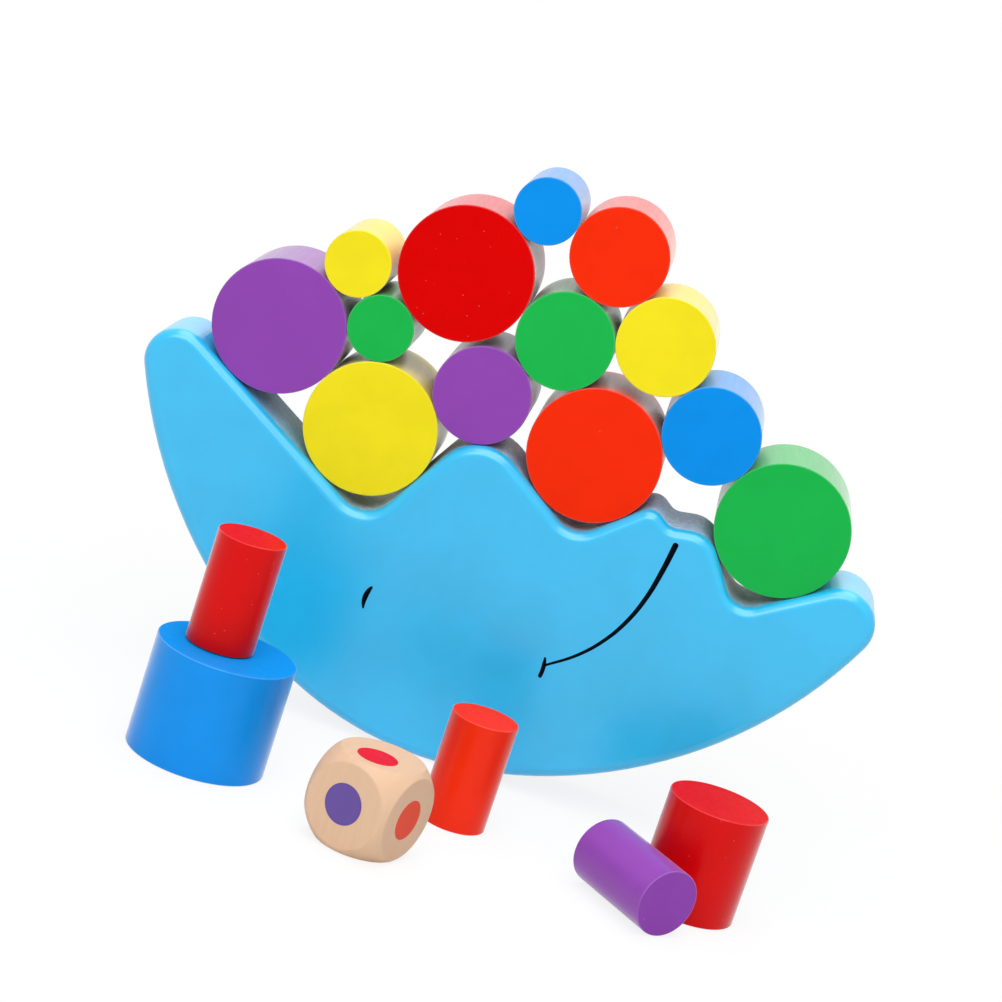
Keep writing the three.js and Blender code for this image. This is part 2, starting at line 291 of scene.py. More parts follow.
def sums(tree, operation, *values):
    """One step of arithmetic, as a socket."""
    return add(tree, "ShaderNodeMath", dict(enumerate(values)), operation=operation).outputs[0]


def fade(tree, value, start, end, low=0.0, high=1.0):
    """A smooth change from low at start to high at end, as a socket."""
    wires = {"Value": value, "From Min": start, "From Max": end, "To Min": low, "To Max": high}
    return add(tree, "ShaderNodeMapRange", wires, interpolation_type="SMOOTHSTEP").outputs["Result"]


def blend_colours(tree, share, first, second):
    """Two colours mixed by a share, as a socket."""
    made = add(tree, "ShaderNodeMix", data_type="RGBA", blend_type="MIX")
    wires = {"Factor_Float": share, "A_Color": first, "B_Color": second}
    for socket in made.inputs:
        value = wires.get(socket.identifier)
        if isinstance(value, bpy.types.NodeSocket):
            tree.links.new(value, socket)
        elif value is not None:
            socket.default_value = value
    return next(socket for socket in made.outputs if socket.identifier == "Result_Color")


def new_material(name):
    """A new material, its tree and its shader."""
    material = bpy.data.materials.new(name)
    material.use_nodes = True
    tree = material.node_tree
    return material, tree, tree.nodes["Principled BSDF"]


def noise(tree, place, scale, detail=3.0, roughness=0.55, stretch=None):
    """Cloudy noise over a place, stretched if a stretch is given, as a socket."""
    if stretch is not None:
        place = add(tree, "ShaderNodeMapping", {"Vector": place, "Scale": stretch}).outputs["Vector"]
    wires = {"Vector": place, "Scale": scale, "Detail": detail, "Roughness": roughness}
    return add(tree, "ShaderNodeTexNoise", wires).outputs["Fac"]


def attribute(tree, name):
    """A value that the piece's own mesh carries, as a node."""
    return add(tree, "ShaderNodeAttribute", attribute_name=name)


def object_place(tree):
    """Places on a piece in the shared frame, as a socket."""
    return add(tree, "ShaderNodeTexCoord").outputs["Object"]


def painted_wood(name, colour, finish, grain, specks=FEW_SPECKS, rim_highlight_and_wear=None, seat_shading=None):
    """Paint on sanded wood: cloudy colour, faint fibres and dust specks, with rims paled by wear and a
    painted highlight, and seats greyed by painted shade and grazing reflection.
    """
    material, tree, shader = new_material(name)
    place = grain(tree)
    paint = linear(colour)
    deep = tinted(paint, DEEP_PAINT)
    pale = tinted(paint, 1 - PALE_PAINT, PALE_PAINT)

    cloud = noise(tree, place, PAINT_CLOUD_SCALE, detail=4.0)
    fibre = noise(tree, place, FIBRE_SCALE, detail=2.0, stretch=FIBRE_STRETCH)
    tone = blend_colours(tree, fade(tree, cloud, *CLOUD_LEVELS), deep, paint)
    tone = blend_colours(tree, fade(tree, fibre, *FIBRE_LEVELS, high=FIBRE_STRENGTH), tone, deep)

    cells = add(tree, "ShaderNodeTexVoronoi", {"Vector": place, "Scale": specks["scale"]}, feature="F1")
    chosen = add(tree, "ShaderNodeSeparateColor", {"Color": cells.outputs["Color"]}).outputs["Red"]
    near = fade(tree, cells.outputs["Distance"], *SPECK_EDGE)
    speck = sums(tree, "MULTIPLY", near, fade(tree, chosen, specks["bare"], specks["bare"] + SPECK_CHANGE))
    tone = blend_colours(tree, sums(tree, "MULTIPLY", speck, specks["strength"]), tone, pale)
    # Rims are paled all round, partly as wear and partly as a painted highlight.
    if rim_highlight_and_wear is not None:
        rim_highlight_and_wear_share = sums(tree, "MULTIPLY", rim_highlight_and_wear(tree), fade(tree, cloud, *RIM_HIGHLIGHT_AND_WEAR_LEVELS, *RIM_HIGHLIGHT_AND_WEAR))
        tone = blend_colours(tree, rim_highlight_and_wear_share, tone, pale)

    rough = fade(tree, fibre, *PAINT_ROUGHNESS_LEVELS, *PAINT_ROUGHNESS)
    relief = sums(tree, "ADD", fibre, sums(tree, "MULTIPLY", cloud, CLOUD_RELIEF))
    # Seats are greyed as painted shade and grazing reflection under the blocks, with pale scratches.
    if seat_shading is not None:
        shaded_seat, scratches = seat_shading(tree)
        tone = blend_colours(tree, shaded_seat, tone, linear(SEAT_SHADE_COLOUR))
        marks = sums(tree, "MULTIPLY", shaded_seat, scratches)
        tone = blend_colours(tree, marks, tone, linear(SCRATCH_COLOUR))
        relief = sums(tree, "ADD", relief, sums(tree, "MULTIPLY", marks, SCRATCH_RELIEF))
    normal = add(tree, "ShaderNodeBump", {**PAINT_BUMP, "Height": relief}).outputs["Normal"]
    wire(tree, shader, {"Base Color": tone, "Roughness": rough, "Normal": normal, **finish})
    return material


def own_grain(tree):
    """The piece's own place before it was set down, with its axis along Z, so that fibres follow it."""
    return attribute(tree, "grain").outputs["Vector"]


def block_rim(tree):
    """One on the rounded rims of a block and nothing elsewhere."""
    return attribute(tree, "rim").outputs["Fac"]


def moon_grain(tree):
    """Places on the moon, turned so that the fibres run along its length."""
    wires = {"Vector": object_place(tree), "Rotation": (0.0, QUARTER_TURN, 0.0)}
    return add(tree, "ShaderNodeMapping", wires).outputs["Vector"]


def moon_scuff(tree):
    """The moon's seats, greyed as painted shade and grazing reflection, and fine scratches along them."""
    run = attribute(tree, "run").outputs["Fac"]
    depth = attribute(tree, "depth").outputs["Fac"]
    place = add(tree, "ShaderNodeCombineXYZ", {"X": run, "Y": depth}).outputs["Vector"]
    scratches = noise(tree, place, 1.0, roughness=0.7, stretch=SCRATCH_STRETCH)
    patches = noise(tree, place, SEAT_SHADE_PATCH_SCALE, detail=2.0)
    seat = attribute(tree, "seat").outputs["Fac"]
    shaded_seat = sums(tree, "MULTIPLY", seat, fade(tree, patches, *SEAT_SHADE_PATCH_LEVELS, *SEAT_SHADE_STRENGTH))
    return shaded_seat, fade(tree, scratches, *SCRATCH_LEVELS, high=SCRATCH_STRENGTH)


def bare_wood(name):
    """Sanded light wood with bent growth lines and short dark pores."""
    material, tree, shader = new_material(name)
    place = own_grain(tree)
    bend = noise(tree, place, WOOD_BEND_SCALE, detail=2.0)
    spread = add(tree, "ShaderNodeVectorMath", {0: place, 1: WOOD_STRETCH}, operation="MULTIPLY")
    shift = add(tree, "ShaderNodeCombineXYZ", {"X": sums(tree, "MULTIPLY", bend, WOOD_BEND)})
    bent = add(tree, "ShaderNodeVectorMath", {0: spread.outputs[0], 1: shift.outputs[0]})
    lines = noise(tree, bent.outputs[0], GROWTH_LINE_SCALE, roughness=0.6)
    pores = noise(tree, place, PORE_SCALE, detail=1.0, stretch=PORE_STRETCH)
    cloud = noise(tree, place, WOOD_CLOUD_SCALE, detail=2.0)
    light = linear(DIE_LIGHT_WOOD)
    dark = linear(DIE_DARK_WOOD)
    tone = blend_colours(tree, fade(tree, lines, *GROWTH_LINE_LEVELS), light, dark)
    tone = blend_colours(tree, fade(tree, cloud, *CLOUD_LEVELS, high=WOOD_CLOUD_STRENGTH), tone, light)
    tone = blend_colours(tree, fade(tree, pores, *PORE_LEVELS, high=PORE_STRENGTH), tone, dark)
    rough = fade(tree, pores, *CLOUD_LEVELS, *WOOD_ROUGHNESS)
    relief = sums(tree, "ADD", lines, pores)
    normal = add(tree, "ShaderNodeBump", {**WOOD_BUMP, "Height": relief}).outputs["Normal"]
    wire(tree, shader, {"Base Color": tone, "Roughness": rough, "Normal": normal, **SANDED_WOOD})
    return material


def brushed_ink(name):
    """Nearly black face paint that lies a little uneven."""
    material, tree, shader = new_material(name)
    cloud = noise(tree, object_place(tree), INK_CLOUD_SCALE)
    ink = linear(INK_COLOUR)
    tone = blend_colours(tree, fade(tree, cloud, *INK_LEVELS), ink, tinted(ink, THIN_INK))
    rough = fade(tree, cloud, *CLOUD_LEVELS, *INK_ROUGHNESS)
    wire(tree, shader, {"Base Color": tone, "Roughness": rough, **DRY_INK})
    return material


def geometry_tree(name, sizes):
    """An empty Geometry Nodes tree with named inputs: the tree, its input node and its output node."""
    tree = bpy.data.node_groups.new(name, "GeometryNodeTree")
    tree.interface.new_socket("Geometry", in_out="INPUT", socket_type="NodeSocketGeometry")
    for label, kind in sizes.items():
        tree.interface.new_socket(label, in_out="INPUT", socket_type="NodeSocket" + kind)
    tree.interface.new_socket("Geometry", in_out="OUTPUT", socket_type="NodeSocketGeometry")
    return tree, tree.nodes.new("NodeGroupInput"), tree.nodes.new("NodeGroupOutput")


def profile_curve(tree, corners, radius, steps):
    """An open curve through corner sockets (along, out), with each corner rounded."""
    index = add(tree, "GeometryNodeInputIndex").outputs["Index"]
    switch = add(tree, "GeometryNodeIndexSwitch", data_type="VECTOR")
    while len(switch.index_switch_items) < len(corners):
        switch.index_switch_items.new()
    tree.links.new(index, switch.inputs["Index"])
    for order, (along, out) in enumerate(reversed(corners)):
        back = sums(tree, "MULTIPLY", along, -1.0)
        corner = add(tree, "ShaderNodeCombineXYZ", {"X": out, "Y": back})
        tree.links.new(corner.outputs[0], switch.inputs[str(order)])
    line = add(tree, "GeometryNodeMeshLine", {"Count": len(corners)})
    bent = add(tree, "GeometryNodeSetPosition",
               {"Geometry": line.outputs["Mesh"], "Position": switch.outputs[0]})
    curve = add(tree, "GeometryNodeMeshToCurve", {"Mesh": bent.outputs["Geometry"]})
    wires = {"Curve": curve.outputs["Curve"], "Radius": radius, "Count": steps}
    rounded = add(tree, "GeometryNodeFilletCurve", wires, mode="POLY")
    return rounded.outputs["Curve"]


def swept(tree, path, profile):
    """A profile carried along a flat path, with doubled points merged."""
    upright = add(tree, "GeometryNodeSetCurveNormal", {"Curve": path}, mode="Z_UP")
    wires = {"Curve": upright.outputs["Curve"], "Profile Curve": profile}
    return merged(tree, add(tree, "GeometryNodeCurveToMesh", wires).outputs["Mesh"])


def merged(tree, shape):
    """The shape with points that lie on each other made one."""
    wires = {"Geometry": shape, "Distance": MERGE_DISTANCE}
    return add(tree, "GeometryNodeMergeByDistance", wires).outputs["Geometry"]


def stored(tree, shape, name, value, kind="FLOAT", domain="POINT"):
    """The shape with a value stored on its points or faces under a name."""
    wires = {"Geometry": shape, "Name": name, "Value": value}
    made = add(tree, "GeometryNodeStoreNamedAttribute", wires, data_type=kind, domain=domain)
    return made.outputs["Geometry"]


def parts_of(tree, vector):
    """The X, Y and Z of a vector, as sockets."""
    return add(tree, "ShaderNodeSeparateXYZ", {"Vector": vector}).outputs


def finished(tree, shape, entry, exit_node, marked=None):
    """Ends a tree: smooth shading, realized instances and the paint, with a second paint on marked faces."""
    smooth = add(tree, "GeometryNodeSetShadeSmooth", {"Geometry": shape})
    plain = add(tree, "GeometryNodeRealizeInstances", {"Geometry": smooth.outputs["Geometry"]})
    last = add(tree, "GeometryNodeSetMaterial",
               {"Geometry": plain.outputs["Geometry"], "Material": entry.outputs["Paint"]})
    if marked is not None:
        mark, paint = marked
        there = add(tree, "GeometryNodeInputNamedAttribute", {"Name": mark}, data_type="BOOLEAN")
        wires = {"Geometry": last.outputs["Geometry"], "Selection": there.outputs["Attribute"],
                 "Material": entry.outputs[paint]}
        last = add(tree, "GeometryNodeSetMaterial", wires)
    tree.links.new(last.outputs["Geometry"], exit_node.inputs["Geometry"])
    return tree


def placed(tree, shape, entry):
    """The shape turned and moved by the tree's Turn and Place."""
    turn = add(tree, "FunctionNodeEulerToRotation", {"Euler": entry.outputs["Turn"]})
    wires = {"Geometry": shape, "Translation": entry.outputs["Place"], "Rotation": turn.outputs["Rotation"]}
    return add(tree, "GeometryNodeTransform", wires).outputs["Geometry"]


def turned_block_tree():
    """A rod's end turned on a lathe: a cylinder with rounded rims, along Z from the origin."""
    sizes = {"Radius": "Float", "Length": "Float", "Rim": "Float", "Sanding": "Float",
             "Grain Start": "Vector", "Place": "Vector", "Turn": "Vector", "Paint": "Material",
             "End Paint": "Material"}
    tree, entry, exit_node = geometry_tree("turned block", sizes)
    radius = entry.outputs["Radius"]
    length = entry.outputs["Length"]
    rim = entry.outputs["Rim"]
    axis = sums(tree, "MULTIPLY", radius, -1.0)
    hold = sums(tree, "MULTIPLY", rim, RIM_HOLD)
    inside = sums(tree, "MULTIPLY", hold, -1.0)
    shoulder = sums(tree, "SUBTRACT", length, hold)
    corners = ((0.0, axis), (0.0, inside), (0.0, 0.0), (hold, 0.0),
               (shoulder, 0.0), (length, 0.0), (length, inside), (length, axis))
    profile = profile_curve(tree, corners, rim, RIM_STEPS)
    ring = add(tree, "GeometryNodeCurvePrimitiveCircle", {"Resolution": BLOCK_SIDES, "Radius": radius})
    shape = swept(tree, ring.outputs["Curve"], profile)

    spot = add(tree, "GeometryNodeInputPosition").outputs["Position"]
    parts = parts_of(tree, spot)
    reach = sums(tree, "SQRT", sums(tree, "ADD", sums(tree, "POWER", parts["X"], 2.0),
                                    sums(tree, "POWER", parts["Y"], 2.0)))
    from_wall = sums(tree, "SUBTRACT", radius, reach)
    from_face = sums(tree, "MINIMUM", parts["Z"], sums(tree, "SUBTRACT", length, parts["Z"]))
    from_rim = sums(tree, "MAXIMUM", from_wall, from_face)
    on_rim = fade(tree, sums(tree, "DIVIDE", from_rim, rim), *RIM_FADE)
    grain = add(tree, "ShaderNodeVectorMath", {0: spot, 1: entry.outputs["Grain Start"]}).outputs[0]
    shape = stored(tree, shape, "grain", grain, "FLOAT_VECTOR")
    shape = stored(tree, shape, "rim", on_rim)
    normal = add(tree, "GeometryNodeInputNormal").outputs["Normal"]
    steepness = sums(tree, "ABSOLUTE", parts_of(tree, normal)["Z"])
    on_end = sums(tree, "GREATER_THAN", steepness, END_STEEPNESS)
    shape = stored(tree, shape, "cut", on_end, "BOOLEAN", "FACE")

    waver = noise(tree, grain, SANDING_SCALE, detail=1.0, roughness=0.5)
    swell = sums(tree, "MULTIPLY", sums(tree, "SUBTRACT", waver, NOISE_MEAN), entry.outputs["Sanding"])
    push = add(tree, "ShaderNodeVectorMath", {0: normal, "Scale": swell}, operation="SCALE")
    sanded = add(tree, "GeometryNodeSetPosition", {"Geometry": shape, "Offset": push.outputs[0]})
    block = placed(tree, sanded.outputs["Geometry"], entry)
    return finished(tree, block, entry, exit_node, ("cut", "End Paint"))


def rounded_plank_tree():
    """A plank sawn along a flat outline, with both edges rounded. Its two faces are left open."""
    sizes = {"Thickness": "Float", "Edge": "Float", "Hold": "Float", "Place": "Vector", "Turn": "Vector",
             "Paint": "Material", "Seat Paint": "Material"}
    tree, entry, exit_node = geometry_tree("rounded plank", sizes)
    thick = entry.outputs["Thickness"]
    edge = entry.outputs["Edge"]
    reach = sums(tree, "ADD", edge, entry.outputs["Hold"])
    inset = sums(tree, "MULTIPLY", reach, -1.0)
    far = sums(tree, "SUBTRACT", thick, reach)
    corners = ((0.0, inset), (0.0, 0.0), (reach, 0.0), (far, 0.0), (thick, 0.0), (thick, inset))
    profile = profile_curve(tree, corners, edge, MOON_EDGE_STEPS)
    run = add(tree, "GeometryNodeSplineParameter").outputs["Length"]
    outline = stored(tree, entry.outputs["Geometry"], "run", run)
    shape = swept(tree, outline, profile)

    spot = parts_of(tree, add(tree, "GeometryNodeInputPosition").outputs["Position"])
    upward = parts_of(tree, add(tree, "GeometryNodeInputNormal").outputs["Normal"])["Y"]
    depth = spot["Z"]
    to_front = sums(tree, "SUBTRACT", thick, depth)
    # The painted seat shade lies on faces that look up, away from the front and the back edge.
    limits = (fade(tree, sums(tree, "DIVIDE", depth, edge), *SEAT_SHADE_FROM_BACK),
              fade(tree, sums(tree, "DIVIDE", to_front, edge), *SEAT_SHADE_FROM_FRONT),
              fade(tree, upward, *SEAT_SHADE_FACING_UP),
              fade(tree, spot["X"], SEAT_LEFT, SEAT_LEFT + SEAT_FADE),
              fade(tree, spot["X"], SEAT_RIGHT, SEAT_RIGHT - SEAT_FADE))
    seat = limits[0]
    for limit in limits[1:]:
        seat = sums(tree, "MULTIPLY", seat, limit)
    shape = stored(tree, shape, "depth", depth)
    shape = stored(tree, shape, "seat", seat)
    seat_shaded = sums(tree, "GREATER_THAN", seat, SHADED_ENOUGH)
    shape = stored(tree, shape, "seat_shaded", seat_shaded, "BOOLEAN", "FACE")
    return finished(tree, placed(tree, shape, entry), entry, exit_node, ("seat_shaded", "Seat Paint"))


def brush_stroke_tree():
    """A stroke of thick paint: a round-ended ribbon along a path, as wide as the path's own radius."""
    sizes = {"Flatness": "Float", "Place": "Vector", "Turn": "Vector", "Paint": "Material"}
    tree, entry, exit_node = geometry_tree("brush stroke", sizes)
    path = add(tree, "GeometryNodeResampleCurve",
               {"Curve": entry.outputs["Geometry"], "Length": STROKE_STEP}, mode="LENGTH")
    before = add(tree, "GeometryNodeSplineParameter").outputs["Length"]
    total = add(tree, "GeometryNodeSplineLength").outputs["Length"]
    width = add(tree, "GeometryNodeInputRadius").outputs["Radius"]
    after = sums(tree, "SUBTRACT", total, before)
    share = sums(tree, "DIVIDE", sums(tree, "MINIMUM", before, after), width)
    short = sums(tree, "SUBTRACT", 1.0, sums(tree, "MINIMUM", share, 1.0))
    bulge = sums(tree, "SQRT", sums(tree, "SUBTRACT", 1.0, sums(tree, "MULTIPLY", short, short)))
    ring = add(tree, "GeometryNodeCurvePrimitiveCircle", {"Resolution": STROKE_SIDES, "Radius": 1.0})
    wires = {"Curve": path.outputs["Curve"], "Profile Curve": ring.outputs["Curve"],
             "Scale": sums(tree, "MULTIPLY", width, bulge), "Fill Caps": True}
    tube = add(tree, "GeometryNodeCurveToMesh", wires)
    size = add(tree, "ShaderNodeCombineXYZ", {"X": 1.0, "Y": 1.0, "Z": entry.outputs["Flatness"]})
    flat = add(tree, "GeometryNodeTransform", {"Geometry": tube.outputs["Mesh"], "Scale": size.outputs[0]})
    shape = merged(tree, flat.outputs["Geometry"])
    return finished(tree, placed(tree, shape, entry), entry, exit_node)


def tumbled_die_tree():
    """A cube turned down by a ball: each point is at the cube's face or the ball, whichever is nearer."""
    sizes = {"Half": "Float", "Ball": "Float", "Softness": "Float", "Place": "Vector", "Turn": "Vector",
             "Paint": "Material"}
    tree, entry, exit_node = geometry_tree("tumbled die", sizes)
    counts = {"Vertices " + side: DIE_GRID for side in "XYZ"}
    cube = add(tree, "GeometryNodeMeshCube", {"Size": (2.0, 2.0, 2.0), **counts})
    spot = add(tree, "GeometryNodeInputPosition").outputs["Position"]
    ray = add(tree, "ShaderNodeVectorMath", {0: spot}, operation="NORMALIZE").outputs[0]
    size = add(tree, "ShaderNodeVectorMath", {0: ray}, operation="ABSOLUTE").outputs[0]
    parts = parts_of(tree, size)
    steepest = sums(tree, "MAXIMUM", sums(tree, "MAXIMUM", parts["X"], parts["Y"]), parts["Z"])
    to_face = sums(tree, "DIVIDE", entry.outputs["Half"], steepest)
    reach = sums(tree, "SMOOTH_MIN", to_face, entry.outputs["Ball"], entry.outputs["Softness"])
    point = add(tree, "ShaderNodeVectorMath", {0: ray, "Scale": reach}, operation="SCALE").outputs[0]
    shaped = add(tree, "GeometryNodeSetPosition", {"Geometry": cube.outputs["Mesh"], "Position": point})
    settled = add(tree, "GeometryNodeInputPosition").outputs["Position"]
    shape = stored(tree, shaped.outputs["Geometry"], "grain", settled, "FLOAT_VECTOR")
    return finished(tree, placed(tree, shape, entry), entry, exit_node)


def linked(name, data):
    """A new object in the scene with this data."""
    made = bpy.data.objects.new(name, data)
    bpy.context.scene.collection.objects.link(made)
    return made


def blank(name):
    """An object with nothing in it yet, for a tree that makes its whole shape."""
    return linked(name, bpy.data.meshes.new(name))


def bake(source, tree, sizes, name):
    """Runs a tree on an object with these sizes and turns the result into a plain mesh piece."""
    maker = source.modifiers.new("shape", "NODES")
    maker.node_group = tree
    for item in tree.interface.items_tree:
        if item.in_out == "INPUT" and item.name in sizes:
            maker[item.identifier] = sizes[item.name]
    graph = bpy.context.evaluated_depsgraph_get()
    mesh = bpy.data.meshes.new_from_object(
        source.evaluated_get(graph), preserve_all_data_layers=True, depsgraph=graph)
    bpy.data.objects.remove(source)
    return linked(name, mesh)


def closed_path(name, points):
    """A closed curve object with straight steps through points on its own XY plane."""
    curve = bpy.data.curves.new(name, "CURVE")
    curve.dimensions = "3D"
    spline = curve.splines.new("POLY")
    spline.points.add(len(points) - 1)
    for knot, (along, up) in zip(spline.points, points):
        knot.co = (along, up, 0.0, 1.0)
    spline.use_cyclic_u = True
    return linked(name, curve)


def stroke_path(name, points, half_widths):
    """A smooth open curve object through points on its own XY plane, with a half width at each."""
    curve = bpy.data.curves.new(name, "CURVE")
    curve.dimensions = "3D"
    spline = curve.splines.new("BEZIER")
    spline.bezier_points.add(len(points) - 1)
    for knot, (along, up), half in zip(spline.bezier_points, points, half_widths):
        knot.co = (along, up, 0.0)
        knot.radius = half
        knot.handle_left_type = "AUTO"
        knot.handle_right_type = "AUTO"
    return linked(name, curve)


def block_stance(body, node):
    """Where a block starts, how it is turned, and its radius, from the CAD node's box."""
    low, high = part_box(node)
    centre = (low + high) / 2
    if body in LYING_BLOCKS:
        heading = math.radians(LYING_ANGLE)
        along = Vector((math.cos(heading), math.sin(heading), 0.0))
        radius = (high.z - low.z) / 2
        return centre - along * BLOCK_LENGTH / 2, (0.0, QUARTER_TURN, heading), radius
    radius = (high.x - low.x) / 2
    if body in STANDING_BLOCKS:
        return Vector((centre.x, centre.y, low.z)), (0.0, 0.0, 0.0), radius
    return Vector((centre.x, low.y, centre.z)), (-QUARTER_TURN, 0.0, 0.0), radius + PILE_SNUGNESS


def make_blocks(frame, paints, end_paints):
    """The eighteen painted blocks, each turned from its own stretch of rod."""
    tree = turned_block_tree()
    nodes = sorted(name for name in frame["nodes"] if name.endswith("_block"))
    for order, node in enumerate(nodes):
        body = node.removesuffix("_block")
        colour = body.split("_")[0]
        place, turn, radius = block_stance(body, node)
        sizes = {"Radius": radius, "Length": BLOCK_LENGTH, "Rim": RIM_RADIUS, "Sanding": SANDING_DEPTH,
                 "Grain Start": GRAIN_STRIDE * order, "Place": place, "Turn": turn,
                 "Paint": paints[colour], "End Paint": end_paints[colour]}
        piece = bake(blank(body), tree, sizes, body + "_turned")
        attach(piece, body)
        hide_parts(node)


def moon_outline(node):
    """The moon's outline where its CAD wall meets the front rounding, as points in anticlockwise order."""
    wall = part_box(node.name)[0].y + MOON_EDGE_RADIUS
    mesh = bmesh.new()
    mesh.from_mesh(node.data)
    bmesh.ops.remove_doubles(mesh, verts=mesh.verts, dist=WELD_DISTANCE)
    ring = [edge for edge in mesh.edges
            if all(abs(end.co.y - wall) < WALL_TOLERANCE for end in edge.verts)]
    here = ring[0].verts[0]
    points = []
    unused = set(ring)
    while unused:
        points.append((here.co.x, here.co.z))
        step = next((edge for edge in here.link_edges if edge in unused), None)
        if step is None:
            break
        unused.discard(step)
        here = step.other_vert(here)
    mesh.free()
    area = sum(a[0] * b[1] - b[0] * a[1] for a, b in zip(points, points[1:] + points[:1]))
    return points[::-1] if area < 0 else points


def fill_faces(mesh):
    """Closes the open front and back of a plank, with every face pointing out."""
    work = bmesh.new()
    work.from_mesh(mesh)
    bmesh.ops.remove_doubles(work, verts=work.verts, dist=WELD_DISTANCE)
    rims = [edge for edge in work.edges if edge.is_boundary]
    made = bmesh.ops.holes_fill(work, edges=rims, sides=0)
    for face in made["faces"]:
        face.smooth = True
    bmesh.ops.recalc_face_normals(work, faces=work.faces)
    work.to_mesh(mesh)
    work.free()


def bowed_stroke(start, end, bow, lean, half_widths):
    """Places and half widths along a brush stroke that bows between its ends."""
    first = Vector(start) * MM
    way = Vector(end) * MM - first
    side = Vector((-way.y, way.x)).normalized() * bow * MM
    spots = []
    for order in range(len(half_widths)):
        share = order / (len(half_widths) - 1)
        leant = share ** lean
        # The bow is nothing at both ends and full between them.
        spots.append(first + way * share + side * 4 * leant * (1 - leant))
    return spots, [half * MM for half in half_widths]


def make_moon(frame, paint, seat_paint, ink):
    """The crescent rocker with rounded edges, and the face painted on its front."""
    low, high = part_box("moon_rocker")
    outline = closed_path("moon outline", moon_outline(frame["nodes"]["moon_rocker"]))
    upright = (QUARTER_TURN, 0.0, 0.0)
    sizes = {"Thickness": high.y - low.y, "Edge": MOON_EDGE_RADIUS, "Hold": MOON_HOLD,
             "Place": Vector((0.0, high.y, 0.0)), "Turn": upright, "Paint": paint,
             "Seat Paint": seat_paint}
    plank = bake(outline, rounded_plank_tree(), sizes, "moon_plank")
    fill_faces(plank.data)
    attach(plank, "moon")
    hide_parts("moon_rocker")

    tree = brush_stroke_tree()
    sizes = {"Flatness": STROKE_FLATNESS, "Place": Vector((0.0, low.y, 0.0)), "Turn": upright, "Paint": ink}
    for name, stroke in FACE_STROKES.items():
        spots, half_widths = bowed_stroke(**stroke)
        line = stroke_path(name + " path", spots, half_widths)
        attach(bake(line, tree, sizes, name), "moon")


def make_die(wood, dots):
    """The tumbled wooden die with one painted dot on each flat."""
    low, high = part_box("colour_die")
    centre = (low + high) / 2
    yaw = math.radians(DIE_YAW)
    sizes = {"Half": DIE_HALF, "Ball": DIE_BALL, "Softness": DIE_SOFTNESS, "Place": centre,
             "Turn": (0.0, 0.0, yaw), "Paint": wood}
    cube = bake(blank("die"), tumbled_die_tree(), sizes, "die_cube")
    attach(cube, "die")
    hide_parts("colour_die")

    tree = turned_block_tree()
    turned = Matrix.Rotation(yaw, 3, "Z")
    for order, (colour, facing) in enumerate(DOT_FACINGS.items()):
        out = turned @ Vector(facing)
        middle = centre + out * (DIE_HALF - DOT_SINK) + turned @ DOT_SHIFTS.get(colour, Vector())
        turn = out.to_track_quat("Z", "Y").to_euler()
        sizes = {"Radius": DOT_RADIUS, "Length": DOT_FILM, "Rim": DOT_RIM, "Sanding": 0.0,
                 "Grain Start": GRAIN_STRIDE * order, "Place": middle, "Turn": Vector(turn),
                 "Paint": dots[colour], "End Paint": dots[colour]}
        dot = bake(blank("dot"), tree, sizes, "die_dot_" + colour)
        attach(dot, "die")


def make_camera():
    """A camera at the photograph's place, rolled as it was held."""
    heading = math.radians(CAMERA_HEADING)
    dip = math.radians(CAMERA_DIP)
    roll = math.radians(CAMERA_ROLL)
    forward = Vector((-math.sin(heading) * math.cos(dip), math.cos(heading) * math.cos(dip), -math.sin(dip)))
    level = forward.cross(Vector((0.0, 0.0, 1.0))).normalized()
    above = level.cross(forward)
    right = level * math.cos(roll) + above * math.sin(roll)
    up = above * math.cos(roll) - level * math.sin(roll)
    data = bpy.data.cameras.new("camera")
    data.sensor_width = SENSOR_WIDTH
    data.lens = CAMERA_LENS
    camera = linked("camera", data)
    turn = Matrix((right, up, -forward)).transposed().to_4x4()
    camera.matrix_world = Matrix.Translation(CAMERA_PLACE) @ turn
    bpy.context.scene.camera = camera


def seen_share(tree, share):
    """A share for what the camera sees straight on or mirrored, and nothing for other rays."""
    path = add(tree, "ShaderNodeLightPath")
    seen = sums(tree, "MAXIMUM", path.outputs["Is Camera Ray"], path.outputs["Is Glossy Ray"])
    return sums(tree, "MULTIPLY", seen, share)


def make_floor():
    """A wide pale floor that looks white to the camera but keeps a soft shadow near the object."""
    corners = [(-FLOOR_SPAN, -FLOOR_SPAN), (FLOOR_SPAN, -FLOOR_SPAN), (FLOOR_SPAN, FLOOR_SPAN),
               (-FLOOR_SPAN, FLOOR_SPAN)]
    mesh = bpy.data.meshes.new("floor")
    mesh.from_pydata([(along, deep, FLOOR_HEIGHT) for along, deep in corners], [], [(0, 1, 2, 3)])
    floor = linked("floor", mesh)
    material, tree, shader = new_material("pale floor")
    place = object_place(tree)
    tone = blend_colours(tree, noise(tree, place, FLOOR_CLOUD_SCALE), *FLOOR_TONES)
    wire(tree, shader, {"Base Color": tone, **MATT_FLOOR})
    away = add(tree, "ShaderNodeVectorMath", {0: place}, operation="LENGTH").outputs["Value"]
    share = fade(tree, away, FLOOR_NEAR, FLOOR_FAR, FLOOR_GLOW, 1.0)
    glow = add(tree, "ShaderNodeEmission", {"Color": WHITE, "Strength": 1.0})
    both = add(tree, "ShaderNodeMixShader",
               {0: seen_share(tree, share), 1: shader.outputs[0], 2: glow.outputs[0]})
    tree.links.new(both.outputs[0], tree.nodes["Material Output"].inputs["Surface"])
    mesh.materials.append(material)


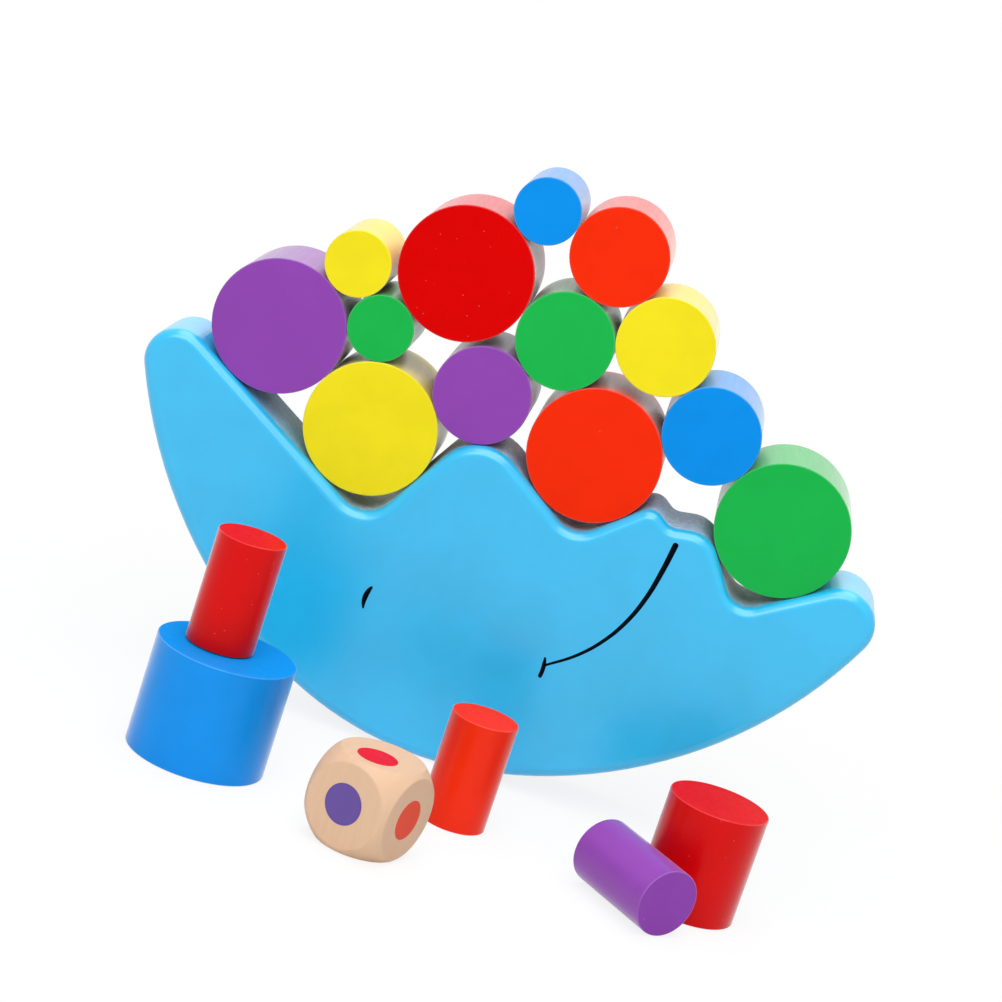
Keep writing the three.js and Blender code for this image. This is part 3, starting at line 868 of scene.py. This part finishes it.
def make_world():
    """A plain room with little light of its own, white where the camera sees it."""
    world = bpy.data.worlds.new("studio")
    bpy.context.scene.world = world
    world.use_nodes = True
    tree = world.node_tree
    room = tree.nodes["Background"]
    wire(tree, room, {"Color": WHITE, "Strength": ROOM_LIGHT})
    white = add(tree, "ShaderNodeBackground", {"Color": WHITE, "Strength": 1.0})
    both = add(tree, "ShaderNodeMixShader",
               {0: seen_share(tree, 1.0), 1: room.outputs[0], 2: white.outputs[0]})
    tree.links.new(both.outputs[0], tree.nodes["World Output"].inputs["Surface"])


def make_lamp(name, place, width, height, power):
    """A soft rectangular lamp, aimed at the object, that the camera doesn't see."""
    data = bpy.data.lights.new(name, "AREA")
    data.shape = "RECTANGLE"
    data.size = width
    data.size_y = height
    data.energy = power
    lamp = linked(name, data)
    lamp.location = place
    lamp.rotation_euler = (Vector(LAMP_AIM) - Vector(place)).to_track_quat("-Z", "Y").to_euler()
    lamp.visible_camera = False


def main():
    """Builds the looks around the frame, then the stage."""
    bpy.ops.object.select_all(action="SELECT")
    bpy.ops.object.delete()
    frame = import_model()
    bpy.context.scene.view_settings.view_transform = "Standard"
    make_camera()

    paints = {}
    end_paints = {}
    for name, colour in BLOCK_COLOURS.items():
        specks = BLOCK_SPECKS.get(name, FEW_SPECKS)
        paints[name] = painted_wood(name + " paint", colour, GLOSSY_SIDE, own_grain, specks, block_rim)
        end_paints[name] = painted_wood(name + " end paint", colour, MATT_END, own_grain, specks)
    dots = {name: painted_wood(name + " dot paint", colour, MATT_END, own_grain)
            for name, colour in DOT_COLOURS.items()}
    sky = painted_wood("sky paint", SKY_COLOUR, SATIN_MOON, moon_grain, FAINT_SPECKS, seat_shading=moon_scuff)
    # The seats' paint, greyed as painted shade and grazing reflection.
    shaded_seat = painted_wood("rubbed sky paint", SKY_COLOUR, DULL_SEAT, moon_grain, FAINT_SPECKS,
                          seat_shading=moon_scuff)
    make_moon(frame, sky, shaded_seat, brushed_ink("face ink"))
    make_blocks(frame, paints, end_paints)
    make_die(bare_wood("die wood"), dots)
    make_floor()
    make_world()
    for name, lamp in LAMPS.items():
        make_lamp(name, **lamp)


main()
